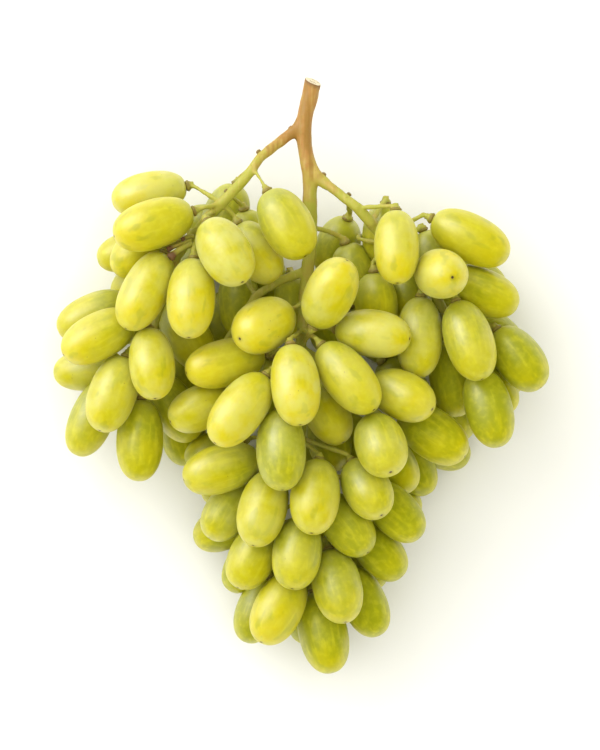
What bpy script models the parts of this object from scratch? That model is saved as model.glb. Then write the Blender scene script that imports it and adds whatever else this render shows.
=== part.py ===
"""A bunch of white seedless table grapes, as cut from the vine and laid on its back.

Lengths are in millimetres until a mesh is made, and MM turns them into metres. X runs across the bunch, Y from its
tail to its cut stalk, and Z up from the surface that it lies on. The places below are counted from a point in the
middle of the bunch, and seat_on_origin() then moves everything so that the origin is the middle of its underside.
"""

import math

import bmesh
import bpy
import numpy as np
from mathutils import Matrix, Vector

MM = 0.001

# --- Driving dimensions, mm ------------------------------------------------------------------------------------------

SKIN_GAP = 0.3  # left between two neighbouring pieces
PRESS_DEPTH = 2.2  # how far the berries of one clump are pressed into each other
SURFACE_FLAT = 0.8  # how far a berry that carries weight is flattened by the surface
LEAST_CUT = 0.05  # a shallower flat than this is pushed up instead of cut
ON_SURFACE = 1e-5  # a point this near the surface counts as on it
TINY = 1e-6  # keeps a division safe where two points fall together
LEAST_LENGTH, MOST_LENGTH = 24.0, 33.0  # of any berry
FULLNESS = 2.2  # the power of a berry's outline, where 2 is an ellipse
PEDICEL_RADIUS = 1.0
PEDICEL_SIDES = 5
PEDICEL_SLACK = 0.2  # how far a pedicel's straight stretches may leave its route
SHARPEST_TURN = 0.55  # of a pedicel, as a cosine
ROOT_DEPTH = 0.35  # how far a pedicel runs past the middle of its branch
RECEPTACLE_RADIUS = 2.0  # the warty ring that holds a berry
RECEPTACLE_LENGTH = 1.6
RECEPTACLE_WIDEST = 0.6  # the place of its widest ring, as a share of its length
RECEPTACLE_FOOT = 0.9  # its radius at the berry, as a share of the widest
STEM_SIDES = 8
SHOWN_SEGMENTS, SHOWN_RINGS = 10, 7  # of a berry that is a node of its own
CLUMP_SEGMENTS, CLUMP_RINGS = 8, 6
CLUMPS = 13  # the berries that are no node of their own are gathered into so many

# --- How the bunch is packed -----------------------------------------------------------------------------------------

# Berries start at the places below and are pushed apart until nothing overlaps. How easily each kind gives way in X, Y
# and Z, and how strongly it is drawn back to its place:
EASE = {"shown": (0.10, 0.10, 1.0), "peeping": (0.12, 0.12, 1.0), "under": (0.8, 0.8, 1.0)}
PULL = {"shown": (0.25, 0.25, 0.02), "peeping": (0.35, 0.35, 0.02), "under": (0.02, 0.02, 0.03)}
PACKING_STEPS, SETTLING_STEPS, CONTACT_PASSES = 120, 40, 6  # there is no drawing back in the last, settling, steps
PACKING_SLACK = 0.1  # added to every gap while packing
CONTACT_SHARE = 0.8  # of an overlap that one pass removes
NEAR_GAP = 1.0  # berries further apart than this, end to end, aren't looked at
OUTLINE_POINTS = 81
BALLS = 7  # a berry is treated as this many balls in a row
END_BALL = 0.66  # the radius of the last of them, to the berry's half width
ROD_STEP = 3.0  # between the balls that stand for a branch

# Strands are the routes of the pedicels, found while packing.
STRAND_POINTS = 14
STRAND_TIPS = (0.3, 1.9, 3.6)  # how far out of its berry the first points of a strand stand
STRAND_SLACK, RECEPTACLE_SLACK = 0.15, 0.3  # added to their gaps while packing
STRAND_REACH = PEDICEL_RADIUS + SKIN_GAP + STRAND_SLACK  # how far its middle keeps from the balls of a berry
RECEPTACLE_REACH = RECEPTACLE_RADIUS + SKIN_GAP + RECEPTACLE_SLACK
STRAND_PULL, STRAND_LEAST_PULL = 0.4, 0.1  # how strongly a strand straightens, at first and at last
STRAND_AIM = 5.0  # a strand heads for the branch point nearest to a point this far behind its berry
ROOM_SAMPLES = 4  # places on each stretch of a strand where its room is measured
STRAND_SHARE = 0.5  # of an overlap with a strand that one pass removes
BERRY_YIELD, TIP_YIELD = 0.05, 0.3  # how readily a berry gives way to a strand and to its tip, which can't bend

# --- Berries ---------------------------------------------------------------------------------------------------------

# Each row is one berry: the middle of it (x, y, z), how long and wide its outline is when seen from above, the
# compass heading that its blossom end points along (0 is +X, 90 is +Y), and how far that end leans up, in degrees.

# Berries that show whole, or nearly so, on the upper side. Each is a node of its own.
SHOWN = {
    "left_shoulder": [
        (-57.5, 69.3, 42, 29.2, 16.6, 192, 5),
        (-55.5, 57.3, 53, 31.5, 19.0, 198, 12),
        (-58.5, 32.0, 52, 33.0, 18.0, 243, 12),
        (-41.3, 29.3, 62, 30.5, 18.3, 267, 18),
        (-28.5, 46.5, 64, 27.8, 19.5, 300, 22),
        (-79.3, 23.0, 32, 29.5, 16.8, 205, 3),
        (-76.4, 14.5, 45, 30.5, 18.0, 208, 12),
        (-56.3, 4.5, 56, 27.5, 17.5, 276, 20),
        (-71.3, -6.8, 45, 30.0, 18.5, 251, 15),
        (-61.0, -24.5, 34, 31.5, 18.0, 268, 5),
    ],
    "neck": [
        (-5.2, 57.3, 62, 29.0, 19.5, 300, 15),
        (11.3, 31.0, 66, 28.5, 19.0, 63, 15),
    ],
    "right_shoulder": [
        (36.5, 48.6, 62, 28.2, 17.0, 271, 18),
        (64.6, 52.2, 46, 32.5, 18.5, 333, 8),
        (53.2, 38.4, 60, 20.0, 18.9, 340, 72),
        (68.3, 32.2, 38, 31.5, 18.0, 339, 5),
        (45.3, 14.5, 52, 31.0, 17.5, 268, 12),
        (64.0, 13.3, 56, 31.5, 18.5, 288, 14),
        (83.3, 6.4, 40, 28.0, 18.2, 307, 8),
        (71.7, -12.3, 42, 31.0, 18.0, 285, 8),
        (50.5, -22.3, 44, 30.0, 19.0, 325, 10),
    ],
    "heart": [
        (-13.0, 18.3, 68, 25.0, 20.0, 210, 42),
        (-28.3, 4.8, 60, 31.0, 18.0, 194, 15),
        (-22.3, -13.0, 64, 32.5, 18.5, 233, 15),
        (-2.0, -3.5, 66, 31.0, 18.5, 277, 18),
        (18.0, -0.8, 64, 32.5, 18.5, 309, 18),
        (27.5, 15.8, 62, 28.8, 18.0, 352, 20),
        (38.5, -7.5, 56, 26.5, 18.5, 335, 25),
        (30.3, -26.3, 58, 24.5, 19.5, 290, 35),
        (9.5, -13.5, 48, 28.0, 17.0, 300, 12),
        (-7.0, -28.0, 56, 31.0, 18.8, 272, 15),
        (-37.8, -12.0, 48, 26.0, 17.2, 205, 15),
        (-29.8, -35.3, 50, 30.5, 18.5, 197, 12),
    ],
    "tail": [
        (-27.7, -51.6, 38, 25.5, 17.0, 236, 8),
        (-14.0, -50.5, 54, 29.5, 18.5, 255, 18),
        (5.8, -45.7, 58, 28.7, 19.0, 264, 22),
        (24.9, -42.9, 54, 24.6, 18.0, 299, 28),
        (17.5, -57.0, 46, 27.0, 18.0, 308, 15),
        (-0.8, -67.3, 50, 28.0, 18.7, 262, 18),
        (-18.3, -69.0, 42, 26.5, 18.0, 245, 12),
        (-8.3, -88.7, 42, 29.5, 19.0, 243, 18),
        (14.0, -80.0, 46, 28.7, 19.0, 283, 18),
        (8.7, -98.3, 32, 32.0, 19.0, 283, 8),
        (24.3, -86.5, 34, 28.5, 17.2, 295, 8),
        (30.0, -67.2, 36, 26.5, 17.2, 312, 8),
        (35.9, -51.6, 40, 28.0, 17.5, 315, 8),
    ],
}

# Berries that only peep out between those, in the same order of numbers.
PEEPING = [
    (-65.0, 47.5, 32, 26.0, 15.5, 196, 0),
    (-61.5, 48.3, 38, 26.0, 16.5, 228, 5),
    (-61.0, 37.0, 26, 26.0, 16.5, 217, 0),
    (-28.8, 61.0, 34, 26.0, 18.0, 250, -10),
    (-43.5, 15.5, 42, 29.0, 18.0, 300, 8),
    (-81.5, 4.3, 27, 28.0, 16.0, 185, -5),
    (-79.0, -18.0, 30, 31.0, 17.0, 247, 3),
    (-47.5, -12.5, 38, 29.0, 17.5, 302, 5),
    (-47.0, 2.0, 20, 28.0, 18.0, 280, 0),
    (-45.0, -21.5, 24, 26.0, 17.5, 275, 0),
    (-18.5, 51.7, 40, 24.0, 16.0, 285, -10),
    (-16.6, 46.8, 50, 26.0, 17.5, 302, 5),
    (-25.3, 26.3, 34, 27.0, 17.0, 275, 5),
    (-2.0, 27.0, 26, 24.0, 17.0, 280, 0),
    (-15.0, 41.0, 24, 22.0, 16.0, 300, 0),
    (14.3, 49.5, 26, 24.0, 17.5, 250, -30),
    (20.5, 38.0, 37, 25.0, 18.0, 290, -5),
    (30.0, 40.5, 22, 24.0, 16.0, 280, 0),
    (34.0, 55.5, 38, 23.0, 16.5, 265, -10),
    (51.0, 44.0, 38, 22.0, 16.0, 290, 0),
    (29.0, 27.5, 47, 22.0, 16.5, 275, 0),
    (42.0, 30.0, 36, 26.0, 17.0, 280, 0),
    (77.0, 13.3, 30, 28.0, 17.0, 310, 0),
    (76.0, -2.5, 22, 26.0, 16.0, 302, 0),
    (55.3, -1.5, 40, 30.0, 17.0, 281, 5),
    (58.5, -13.0, 24, 26.0, 16.5, 290, 0),
    (-33.0, -28.5, 32, 22.0, 15.0, 200, 0),
    (11.0, -24.0, 34, 26.0, 17.0, 280, 0),
    (43.0, -34.2, 30, 26.0, 16.5, 298, 0),
    (36.0, -34.0, 36, 25.0, 17.0, 300, 0),
    (-22.8, -70.3, 30, 25.0, 15.5, 240, 0),
    (-13.4, -93.8, 24, 26.0, 16.0, 252, 0),
    (3.6, -92.0, 14, 24.0, 16.5, 262, -5),
    (25.0, -71.5, 24, 22.0, 15.0, 292, 0),
]

# The places in that list of those with no room for a pedicel of their own: their clump carries them.
CARRIED = (6, 9, 14, 31, 32)

# The underside: rows of berries that stand on their blossom ends, (y, leftmost x, rightmost x, how many).
UNDER_ROWS = [
    (42, -48, -24, 2),
    (38, 42, 62, 2),
    (18, -62, 66, 6),
    (-5, -62, 66, 6),
    (-28, -25, 50, 4),
    (-50, -14, 28, 3),
    (-73, -7, 20, 2),
]
UNDER_LENGTH, UNDER_WIDTH = 28.0, 17.5
UNDER_LEAN = -28
UNDER_LIFT = 18
UNDER_HEIGHT = 10.0
UNDER_SPREAD = 65  # the outermost berries of a row point this many degrees outwards

# --- Stem: points down the middle of each branch (x, y, z) and its radius there --------------------------------------

PEDUNCLE = [
    (5.0, 113.6, 44, 3.3),
    (3.6, 105.5, 44, 3.5),
    (1.9, 99.0, 45, 3.1),
    (1.2, 94.0, 45, 3.3),
    (1.9, 87.0, 45, 3.0),
    (2.9, 80.0, 46, 2.9),
    (3.8, 74.5, 45, 3.0),
    (3.7, 66.0, 44, 2.8),
    (4.0, 52.0, 41, 2.5),
    (2.0, 32.0, 40, 2.2),
    (0.5, 14.0, 40, 2.0),
    (-1.0, -10.0, 40, 1.9),
    (-1.0, -34.0, 38, 1.7),
    (1.0, -58.0, 32, 1.5),
    (3.0, -76.0, 26, 1.3),
]
BRANCHES = {
    "left_shoulder": [
        (1.3, 98.0, 45, 2.6),
        (-0.6, 94.3, 45, 2.7),
        (-4.6, 91.2, 46, 2.2),
        (-14.7, 83.3, 50, 2.0),
        (-21.0, 74.6, 53, 2.1),
        (-32.7, 62.5, 50, 2.1),
        (-40.5, 54.0, 46, 1.8),
        (-47.0, 45.0, 41, 1.6),
        (-54.0, 24.0, 37, 1.5),
        (-60.0, 6.0, 35, 1.3),
    ],
    "right_shoulder": [
        (2.6, 85.0, 45, 2.5),
        (4.9, 77.6, 46, 2.6),
        (8.8, 73.6, 47, 2.3),
        (13.3, 70.3, 50, 1.9),
        (21.7, 63.7, 52, 2.1),
        (27.0, 58.0, 50, 2.1),
        (36.0, 48.0, 42, 1.7),
        (52.0, 30.0, 37, 1.5),
        (63.0, 12.0, 35, 1.3),
    ],
    "left_spur": [
        (2.6, 40.0, 40, 1.9),
        (-7.0, 36.5, 39, 1.6),
        (-17.0, 30.5, 37, 1.5),
        (-30.0, 10.0, 36, 1.4),
        (-36.0, -8.0, 35, 1.2),
    ],
    "right_spur": [
        (0.6, 10.0, 40, 1.8),
        (14.0, 2.0, 40, 1.5),
        (28.0, -12.0, 40, 1.3),
    ],
}


def direction(heading, lean):
    """The unit vector of a compass heading and a lean above the horizon, in degrees."""
    flat = math.cos(math.radians(lean))
    turn = math.radians(heading)
    return np.array([flat * math.cos(turn), flat * math.sin(turn), math.sin(math.radians(lean))])


def true_length(outline, width, lean):
    """How long a leaning berry is, from the length of its outline seen from above."""
    rise = math.sin(math.radians(lean))
    return math.sqrt(outline**2 - (width * rise) ** 2) / math.cos(math.radians(lean))


def outline_of(half_length, half_width, points=OUTLINE_POINTS):
    """Half the outline of a berry, from its blossom end to its stalk end: (along, out) pairs. It is fuller than an
    ellipse."""
    turn = np.linspace(0, math.pi, points)
    along = half_length * np.sign(np.cos(turn)) * np.abs(np.cos(turn)) ** (2 / FULLNESS)
    return np.stack([along, half_width * np.abs(np.sin(turn)) ** (2 / FULLNESS)], axis=1)


class Berries:
    """All the berries as arrays, one row each: middle, direction of the blossom end, half length and half width."""

    def __init__(self, rows, kinds):
        self.kind = kinds
        self.middle = np.array([row[:3] for row in rows], float)
        self.way = np.array([direction(row[5], row[6]) for row in rows])
        self.half_length = np.array([true_length(row[3], row[4], row[6]) / 2 for row in rows])
        self.half_width = np.array([row[4] / 2 for row in rows])
        self.half_length = np.clip(self.half_length, LEAST_LENGTH / 2, MOST_LENGTH / 2)
        step = np.linspace(-1, 1, BALLS)
        self.along = step * (self.half_length - END_BALL * self.half_width)[:, None]
        outline = np.array([outline_of(a, b) for a, b in zip(self.half_length, self.half_width)])
        reach = np.hypot(outline[:, None, :, 0] - self.along[..., None], outline[:, None, :, 1])
        self.radius = reach.min(axis=2)

    def balls(self):
        """The middles of the row of balls that fills each berry."""
        return self.middle[:, None, :] + self.along[..., None] * self.way[:, None, :]

    def half_height(self):
        """How far each berry reaches above and below its middle."""
        power = FULLNESS / (FULLNESS - 1)
        rise = np.abs(self.way[:, 2])
        level = np.sqrt(1 - rise**2)
        return ((self.half_length * rise) ** power + (self.half_width * level) ** power) ** (1 / power)


def under_rows():
    """The berries of the underside, evenly spaced along their rows and fanned outwards."""
    rows = []
    for y, left, right, count in UNDER_ROWS:
        for x in np.linspace(left, right, count):
            side = 2 * (x - left) / (right - left) - 1
            lean = UNDER_LEAN + UNDER_LIFT * abs(side)
            outline = 2 * math.hypot(
                UNDER_LENGTH / 2 * math.cos(math.radians(lean)),
                UNDER_WIDTH / 2 * math.sin(math.radians(lean)),
            )
            rows.append((x, y, UNDER_HEIGHT, outline, UNDER_WIDTH, -90 + UNDER_SPREAD * side, lean))
    return rows


def shares(middle, chosen, count):
    """Splits berries into so many groups of neighbours, each time across their longest spread."""
    if count == 1:
        return [list(chosen)]
    spread = np.ptp(middle[chosen], axis=0)
    order = sorted(chosen, key=lambda i: middle[i][int(spread.argmax())])
    cut = round(len(order) * (count // 2) / count)
    return shares(middle, order[:cut], count // 2) + shares(middle, order[cut:], count - count // 2)


def nearest_links(middle, group):
    """The pairs that join a group of berries into one, each to the nearest that is already joined."""
    joined, waiting, pairs = [group[0]], list(group[1:]), []
    while waiting:
        options = [(np.linalg.norm(middle[i] - middle[j]), i, j) for i in joined for j in waiting]
        _, i, j = min(options)
        pairs.append((i, j))
        joined.append(j)
        waiting.remove(j)
    return pairs


def capsules(points):
    """A branch as a row of balls, close enough to act as a solid rod."""
    balls = []
    for start, end in zip(points, points[1:]):
        start, end = np.array(start, float), np.array(end, float)
        count = max(2, int(np.linalg.norm(end[:3] - start[:3]) / ROD_STEP))
        balls += [start + (end - start) * t for t in np.linspace(0, 1, count)]
    return np.array(balls)


def pack(berries, clumps, rods, strands=None):
    """Moves the berries until none cuts into another, a branch or the surface, and each clump holds together.

    Strands are the thin stalks of single berries, which bend around the others.
    """
    home = berries.middle.copy()
    clump_of = np.full(len(home), -1)
    for n, clump in enumerate(clumps):
        clump_of[clump] = n
    linked = {tuple(sorted(pair)) for clump in clumps for pair in nearest_links(home, clump)}
    ease = np.array([EASE[kind] for kind in berries.kind])
    pull = np.array([PULL[kind] for kind in berries.kind])
    first, second = np.triu_indices(len(home), 1)
    same = (clump_of[first] == clump_of[second]) & (clump_of[first] >= 0)
    tied = np.array([pair in linked for pair in zip(first.tolist(), second.tolist())])
    wanted = np.where(same, -PRESS_DEPTH, SKIN_GAP + PACKING_SLACK)
    for step in range(PACKING_STEPS):
        fade = max(0.0, 1 - step / (PACKING_STEPS - SETTLING_STEPS))
        berries.middle += (home - berries.middle) * pull * fade
        if strands is not None:
            strands.straighten(berries, max(STRAND_PULL * fade, STRAND_LEAST_PULL))
        for _ in range(CONTACT_PASSES):
            push_apart(berries, ease, first, second, wanted, tied)
            push_off_rods(berries, ease, rods)
            if strands is not None:
                strands.push_off(berries, ease)
            low = berries.half_height() - SURFACE_FLAT - berries.middle[:, 2]
            berries.middle[:, 2] += np.maximum(low, 0)


class Strands:
    """The thin stalks: rows of points from a berry's stalk end to a branch."""

    def __init__(self, berries, owners, rods):
        self.owner = np.array(owners)
        starts = self.tips(berries)
        ends = []
        for start, way in zip(starts[:, 2], berries.way[self.owner]):
            near = np.linalg.norm(rods[:, :3] - (start - way * STRAND_AIM), axis=1)
            ends.append(rods[near.argmin(), :3])
        span = np.linspace(0, 1, STRAND_POINTS)[None, :, None]
        self.points = starts[:, 2][:, None] * (1 - span) + np.array(ends)[:, None] * span
        self.points[:, :3] = starts

    def tips(self, berries):
        """The first three points of each strand, which stand straight out of its berry."""
        back = -berries.way[self.owner]
        skin = berries.middle[self.owner] + back * berries.half_length[self.owner][:, None]
        return np.stack([skin + back * out for out in STRAND_TIPS], axis=1)

    def straighten(self, berries, share):
        """Draws each strand tighter, from its berry to its branch."""
        middle = (self.points[:, 2:-2] + self.points[:, 4:]) / 2
        self.points[:, 3:-1] += (middle - self.points[:, 3:-1]) * share
        self.points[:, :3] = self.tips(berries)

    def room(self, berries, n):
        """How far the middle of a strand stays from every berry, but for where it leaves its own."""
        route = self.points[n]
        shares = np.arange(0, 1, 1 / ROOM_SAMPLES)[:, None]
        fine = route[:-1, None] + (route[1:] - route[:-1])[:, None] * shares
        apart = berries.balls()[:, :, None, None] - fine[None, None]
        gap = np.linalg.norm(apart, axis=4) - berries.radius[..., None, None]
        gap[self.owner[n], :, : len(STRAND_TIPS) - 1] = np.inf
        return gap.min()

    def push_off(self, berries, ease):
        """Pushes berries and strand points out of each other."""
        points = self.points[:, 1:-1]
        shape = points.shape[:2]
        flat = points.reshape(-1, 3)
        owner = np.repeat(self.owner, shape[1])
        balls = berries.balls()
        near = np.linalg.norm(berries.middle[:, None] - flat[None], axis=2)
        tip = np.arange(len(flat)) % shape[1] < len(STRAND_TIPS) - 1
        near[owner[tip], np.nonzero(tip)[0]] = np.inf
        reach = np.tile([RECEPTACLE_REACH] + [STRAND_REACH] * (shape[1] - 1), shape[0])
        who, which = np.nonzero(near < berries.half_length[:, None] + reach)
        apart = balls[who] - flat[which][:, None]
        distance = np.linalg.norm(apart, axis=2)
        gap = distance - berries.radius[who] - reach[which][:, None]
        ball = gap.argmin(axis=1)
        rows = np.arange(len(who))
        error = np.minimum(gap[rows, ball], 0)
        normal = apart[rows, ball] / np.maximum(distance[rows, ball], TINY)[:, None]
        give = ease[who] * np.where(tip[which], TIP_YIELD, BERRY_YIELD)[:, None]
        weight = (normal**2 * give).sum(axis=1) + 1
        size = error / weight * STRAND_SHARE
        move = np.zeros_like(flat)
        np.add.at(move, which, normal * size[:, None])
        shift = np.zeros_like(berries.middle)
        count = np.zeros(len(shift))
        np.add.at(shift, who, -normal * give * size[:, None])
        np.add.at(count, who, error < 0)
        berries.middle += shift / np.maximum(count, 1)[:, None]
        self.points[:, 1:-1] += move.reshape(points.shape)
        self.points[:, :3] = self.tips(berries)


def push_apart(berries, ease, first, second, wanted, tied):
    """Pushes pairs of berries as far apart as wanted, and draws tied pairs together as well."""
    near = np.linalg.norm(berries.middle[first] - berries.middle[second], axis=1)
    close = np.nonzero(tied | (near < berries.half_length[first] + berries.half_length[second] + NEAR_GAP))[0]
    i, j = first[close], second[close]
    balls = berries.balls()
    apart = balls[i][:, :, None, :] - balls[j][:, None, :, :]
    distance = np.linalg.norm(apart, axis=3)
    gap = distance - berries.radius[i][:, :, None] - berries.radius[j][:, None, :]
    flat = gap.reshape(len(i), -1)
    which = flat.argmin(axis=1)
    rows = np.arange(len(i))
    least = flat[rows, which]
    a, b = np.unravel_index(which, gap.shape[1:])
    normal = apart[rows, a, b] / np.maximum(distance[rows, a, b], TINY)[:, None]
    error = least - wanted[close]
    error = np.where(tied[close], error, np.minimum(error, 0))
    weight = (normal**2 * (ease[i] + ease[j])).sum(axis=1)
    size = -error / weight
    move = np.zeros_like(berries.middle)
    count = np.zeros(len(move))
    np.add.at(move, i, ease[i] * normal * size[:, None])
    np.add.at(move, j, -ease[j] * normal * size[:, None])
    np.add.at(count, i, error != 0)
    np.add.at(count, j, error != 0)
    berries.middle += move * CONTACT_SHARE / np.sqrt(np.maximum(count, 1))[:, None]


def push_off_rods(berries, ease, rods):
    """Pushes berries out of the branches, which stay where they are."""
    apart = berries.balls()[:, :, None, :] - rods[None, None, :, :3]
    distance = np.linalg.norm(apart, axis=3)
    gap = distance - berries.radius[:, :, None] - rods[None, None, :, 3] - SKIN_GAP - PACKING_SLACK
    flat = gap.reshape(len(berries.middle), -1)
    which = flat.argmin(axis=1)
    rows = np.arange(len(flat))
    a, b = np.unravel_index(which, gap.shape[1:])
    normal = apart[rows, a, b] / np.maximum(distance[rows, a, b], TINY)[:, None]
    error = np.minimum(flat[rows, which], 0)
    weight = (normal**2 * ease).sum(axis=1)
    berries.middle += -ease * normal * (error / weight)[:, None] * CONTACT_SHARE


# --- Meshes ----------------------------------------------------------------------------------------------------------


def material(name, colour, roughness):
    made = bpy.data.materials.new(name)
    made.use_nodes = True
    surface = made.node_tree.nodes["Principled BSDF"]
    surface.inputs["Base Color"].default_value = (*colour, 1.0)
    surface.inputs["Roughness"].default_value = roughness
    return made


def mesh_object(name, shape, finish):
    """An object from a bmesh in millimetres."""
    bmesh.ops.scale(shape, vec=(MM, MM, MM), verts=shape.verts)
    mesh = bpy.data.meshes.new(name)
    shape.to_mesh(mesh)
    shape.free()
    mesh.materials.append(finish)
    made = bpy.data.objects.new(name, mesh)
    bpy.context.scene.collection.objects.link(made)
    return made


def berry_mesh(name, berries, i, segments, rings, finish):
    """One berry: a sphere stretched to a berry's outline and laid along its direction."""
    shape = bmesh.new()
    bmesh.ops.create_uvsphere(shape, u_segments=segments, v_segments=rings, radius=1.0)
    half_length, half_width = berries.half_length[i], berries.half_width[i]
    for vertex in shape.verts:
        x, y, z = vertex.co
        ring = math.hypot(x, y)
        swell = half_width * ring ** (2 / FULLNESS - 1) if ring > TINY else 0.0
        vertex.co = (x * swell, y * swell, half_length * math.copysign(abs(z) ** (2 / FULLNESS), z))
    turn = Vector((0, 0, 1)).rotation_difference(Vector(berries.way[i])).to_matrix().to_4x4()
    bmesh.ops.transform(shape, matrix=Matrix.Translation(berries.middle[i]) @ turn, verts=shape.verts)
    flatten_underside(shape)
    return mesh_object(name, shape, finish)


def flatten_underside(shape):
    """Cuts off what is below the surface, so that a berry that carries weight has a flat to rest on."""
    if min(vertex.co.z for vertex in shape.verts) > -LEAST_CUT:
        for vertex in shape.verts:
            vertex.co.z = max(vertex.co.z, 0.0)
        return
    everything = shape.verts[:] + shape.edges[:] + shape.faces[:]
    cut = bmesh.ops.bisect_plane(
        shape, geom=everything, dist=ON_SURFACE, plane_co=(0, 0, 0), plane_no=(0, 0, -1), clear_outer=True
    )
    rim = [item for item in cut["geom_cut"] if isinstance(item, bmesh.types.BMEdge)]
    bmesh.ops.contextual_create(shape, geom=rim)


def join_into(whole, pieces, name, solver="EXACT"):
    """Unites the pieces with the whole, and hides them."""
    hidden = bpy.data.collections.new(name)
    bpy.context.scene.collection.children.link(hidden)
    for piece in pieces:
        bpy.context.scene.collection.objects.unlink(piece)
        hidden.objects.link(piece)
        piece.hide_render = True
        piece.display_type = "WIRE"
    union = whole.modifiers.new("union", "BOOLEAN")
    union.operation = "UNION"
    union.operand_type = "COLLECTION"
    union.solver = solver
    union.collection = hidden


def tube_mesh(name, points, radii, sides, finish):
    """A closed tube of straight stretches, with its own radius at each point."""
    shape = bmesh.new()
    points = [Vector(point) for point in points]
    side = Vector((0, 0, 1))
    rings = []
    for n, point in enumerate(points):
        ahead = (points[min(n + 1, len(points) - 1)] - points[max(n - 1, 0)]).normalized()
        side = (side - ahead * side.dot(ahead)).normalized()
        across = ahead.cross(side)
        turns = [math.tau * k / sides for k in range(sides)]
        ring = [point + (side * math.cos(t) + across * math.sin(t)) * radii[n] for t in turns]
        rings.append([shape.verts.new(co) for co in ring])
    for one, other in zip(rings, rings[1:]):
        for k in range(sides):
            shape.faces.new((one[k], one[(k + 1) % sides], other[(k + 1) % sides], other[k]))
    shape.faces.new(list(reversed(rings[0])))
    shape.faces.new(rings[-1])
    bmesh.ops.recalc_face_normals(shape, faces=shape.faces)
    return mesh_object(name, shape, finish)


def thinned(points, slack):
    """The same route with fewer points, nowhere further than slack from it."""
    start, end = points[0], points[-1]
    along = end - start
    share = np.clip((points - start) @ along / (along @ along), 0, 1)
    off = np.linalg.norm(points - start - share[:, None] * along, axis=1)
    worst = int(off.argmax())
    if off[worst] <= slack:
        return np.array([start, end])
    return np.concatenate([thinned(points[: worst + 1], slack)[:-1], thinned(points[worst:], slack)])


def without_kinks(points):
    """The same route without the points where it turns too sharply for a tube."""
    points = list(points)
    n = 1
    while n < len(points) - 1:
        before, after = points[n] - points[n - 1], points[n + 1] - points[n]
        turn = before @ after / (np.linalg.norm(before) * np.linalg.norm(after))
        if turn < SHARPEST_TURN or np.linalg.norm(before) < PEDICEL_RADIUS:
            del points[n]
            n = max(n - 1, 1)
        else:
            n += 1
    return np.array(points)


def pedicel_mesh(name, route, finish):
    """A pedicel with its warty ring at the berry."""
    start, onward = route[0], route[1]
    out = (onward - start) / np.linalg.norm(onward - start)
    ring = [start + out * RECEPTACLE_LENGTH * share for share in (0, RECEPTACLE_WIDEST, 1)]
    rest = without_kinks(np.concatenate([ring[-1:], thinned(route[2:], PEDICEL_SLACK)]))
    rest[-1] += (rest[-1] - rest[-2]) / np.linalg.norm(rest[-1] - rest[-2]) * ROOT_DEPTH
    radii = [RECEPTACLE_RADIUS * RECEPTACLE_FOOT, RECEPTACLE_RADIUS] + [PEDICEL_RADIUS] * len(rest)
    return tube_mesh(name, ring[:2] + list(rest), radii, PEDICEL_SIDES, finish)


def seat_on_origin(objects):
    """Moves everything so that the origin is the middle of the underside of the bunch's box."""
    bpy.context.view_layer.update()
    corners = np.array([made.matrix_world @ v.co for made in objects for v in made.data.vertices])
    low, high = corners.min(axis=0), corners.max(axis=0)
    shift = Vector(((low[0] + high[0]) / 2, (low[1] + high[1]) / 2, low[2]))
    for made in objects:
        made.data.transform(Matrix.Translation(-shift))
    return shift


def centre_line(route):
    """The points and the radii of a branch."""
    return [point[:3] for point in route], [point[3] for point in route]


def main():
    for old in list(bpy.data.objects):
        bpy.data.objects.remove(old)
    skin = material("grape_skin", (0.62, 0.60, 0.10), 0.38)
    bark = material("grape_stem", (0.45, 0.40, 0.14), 0.6)

    names = [f"berry_{part}_{n + 1:02d}" for part, rows in SHOWN.items() for n in range(len(rows))]
    shown = [row for rows in SHOWN.values() for row in rows]
    under = under_rows()
    kinds = ["shown"] * len(shown) + ["peeping"] * len(PEEPING) + ["under"] * len(under)
    berries = Berries(shown + PEEPING + under, kinds)
    clumps = shares(berries.middle, range(len(shown), len(kinds)), CLUMPS)
    rods = np.concatenate([capsules(route) for route in (PEDUNCLE, *BRANCHES.values())])

    pack(berries, clumps, rods)
    ends = berries.middle - berries.way * berries.half_length[:, None]
    reach = np.linalg.norm(ends[:, None] - rods[None, :, :3], axis=2).min(axis=1)
    carried = [len(shown) + n for n in CARRIED]
    seen = [i for i, kind in enumerate(kinds) if kind != "under" and i not in carried]
    unseen = [min(clump, key=lambda i: reach[i]) for clump in clumps if not set(clump) & set(seen)]
    strands = Strands(berries, seen + unseen, rods)
    pack(berries, clumps, rods, strands)

    made = [
        berry_mesh(name, berries, i, SHOWN_SEGMENTS, SHOWN_RINGS, skin) for i, name in enumerate(names)
    ]
    for n, clump in enumerate(clumps):
        name = f"berries_clump_{n + 1:02d}"
        pieces = [berry_mesh(f"{name}_{i}", berries, i, CLUMP_SEGMENTS, CLUMP_RINGS, skin) for i in clump]
        pieces[0].name = name
        join_into(pieces[0], pieces[1:], f"{name}_pieces")
        made += pieces
    stem = tube_mesh("stem", *centre_line(PEDUNCLE), STEM_SIDES, bark)
    twigs = [
        tube_mesh(f"stem_{name}", *centre_line(route), STEM_SIDES, bark) for name, route in BRANCHES.items()
    ]
    twigs += [
        pedicel_mesh(f"stem_pedicel_{n}", route, bark)
        for n, route in enumerate(strands.points)
        if strands.room(berries, n) > PEDICEL_RADIUS + SKIN_GAP
    ]
    join_into(stem, twigs, "stem_pieces", solver="MANIFOLD")
    seat_on_origin(made + [stem] + twigs)


main()
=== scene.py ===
"""A bunch of green seedless table grapes, lying on its back on a pale floor under soft studio light.

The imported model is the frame. Each berry's place, direction and size is read back from its CAD solid, and a
smooth berry with its skin, blossom scar and stalk dimple is made there. The stem is a rounded, knotty copy of
its CAD solid, with a ring where it holds each berry, bud scars, and three bare twigs. Lengths are in metres,
and MM turns millimetres into them.
"""

import math

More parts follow.
